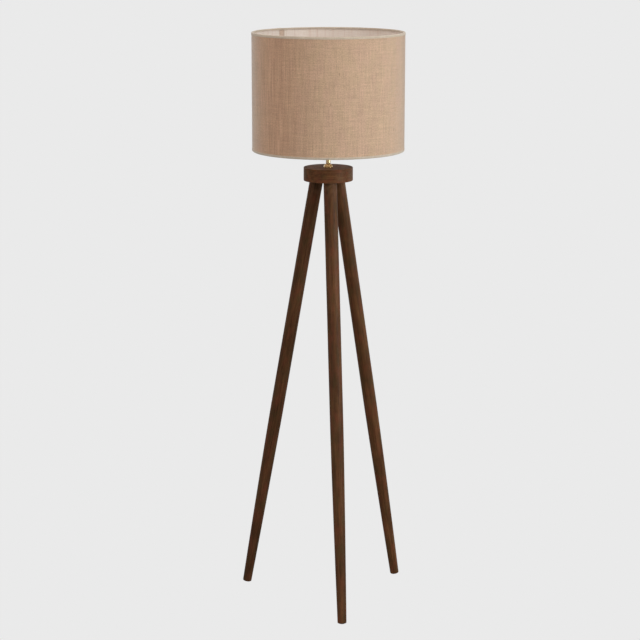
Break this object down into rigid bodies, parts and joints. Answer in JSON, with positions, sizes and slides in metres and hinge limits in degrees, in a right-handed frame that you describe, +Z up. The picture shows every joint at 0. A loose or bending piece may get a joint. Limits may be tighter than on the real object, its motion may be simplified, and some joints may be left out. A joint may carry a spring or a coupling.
{
  "type": "tripod floor lamp",
  "caption": "Tripod floor lamp: a straight fabric drum shade on a turn-knob lamp holder and a short brass neck, above a round wooden block and splayed, tapered round legs.",
  "frame": {"origin": "the point on the floor under the lamp's own axis, midway between the feet", "axes": "+Z up along the lamp's axis; the front leg leans towards -Y, the other two towards +X and -X on the +Y side; the switch knob points along +X"},
  "size_m": [0.4578, 0.4689, 1.5827],
  "materials": {
    "walnut_wood": "dark walnut stain, satin lacquer",
    "brass": "polished, lacquered",
    "steel": "zinc plated",
    "glide_nylon": "moulded nylon",
    "black_plastic": "moulded",
    "sleeve_board": "pressed insulating board",
    "fibre": "vulcanised fibre",
    "screw_contact": "plated sheet",
    "bulb_frost": "frosted, light diffusing",
    "bulb_plastic": "white, satin",
    "bulb_metal": "plated, bright",
    "bulb_glass_black": "vitrified insulator",
    "jute_cloth": "coarse plain weave",
    "shade_lining": "styrene backing, slight sheen",
    "shade_tape": "narrow folded tape",
    "seam_tape": "glued overlap",
    "white_wire": "powder coated, satin"
  },
  "bodies": {
    "stand": {"cap_block": "walnut_wood", "leg_front": "walnut_wood", "leg_right": "walnut_wood", "leg_left": "walnut_wood", "leg_bolts": "steel", "leg_inserts": "brass", "foot_glides": "glide_nylon", "glide_nails": "steel", "neck_disc": "brass", "neck_tube": "brass", "lamp_pipe": "steel", "pipe_washer": "steel", "pipe_lock_washer": "steel", "pipe_nut": "brass", "cord_bushing": "black_plastic", "holder_cup": "brass", "cup_screw": "steel", "holder_shell": "brass", "holder_sleeve": "sleeve_board", "switch_block": "black_plastic", "terminal_screws": "brass", "screw_shell": "screw_contact", "centre_contact": "brass", "seat_ring": "brass"},
    "switch": {"switch_shaft": "brass", "switch_knob": "black_plastic"},
    "shade": {"shade_fabric": "jute_cloth", "shade_liner": "shade_lining", "shade_seam_tape": "seam_tape", "shade_top_trim": "shade_tape", "shade_bottom_trim": "shade_tape", "shade_top_wire": "white_wire", "shade_bottom_wire": "white_wire", "shade_fitter_ring": "white_wire", "shade_arms": "white_wire"},
    "ring_washer": {"ring_washer": "fibre"},
    "shade_ring": {"shade_ring": "brass"},
    "bulb_tip": {"bulb_contact": "steel"},
    "bulb": {"bulb_insulator": "bulb_glass_black", "bulb_screw_cap": "bulb_metal", "bulb_collar": "bulb_plastic", "bulb_globe": "bulb_frost"}
  },
  "joints": [
    {"name": "switch_turn", "type": "hinge", "parent": "stand", "child": "switch", "pos_m": [0.02, 0, 1.279], "axis": [1, 0, 0], "continuous": true},
    {"name": "shade_turn", "type": "hinge", "parent": "stand", "child": "shade", "pos_m": [0, 0, 1.3], "axis": [0, 0, 1], "continuous": true},
    {"name": "ring_rise", "type": "slide", "parent": "stand", "child": "ring_washer", "axis": [0, 0, 1], "range_m": [0, 0.0101]},
    {"name": "ring_turn", "type": "hinge", "parent": "ring_washer", "child": "shade_ring", "pos_m": [0, 0, 1.3045], "axis": [0, 0, 1], "range_deg": [0, 1440]},
    {"name": "bulb_rise", "type": "slide", "parent": "stand", "child": "bulb_tip", "axis": [0, 0, 1], "range_m": [0, 0.0182]},
    {"name": "bulb_turn", "type": "hinge", "parent": "bulb_tip", "child": "bulb", "pos_m": [0, 0, 1.33], "axis": [0, 0, 1], "range_deg": [0, 1800]}
  ],
  "couplings": [
    {"joint": "ring_rise", "follows": "ring_turn", "m_per_rad": 0.00039789},
    {"joint": "bulb_rise", "follows": "bulb_turn", "m_per_rad": 0.00057757}
  ]
}
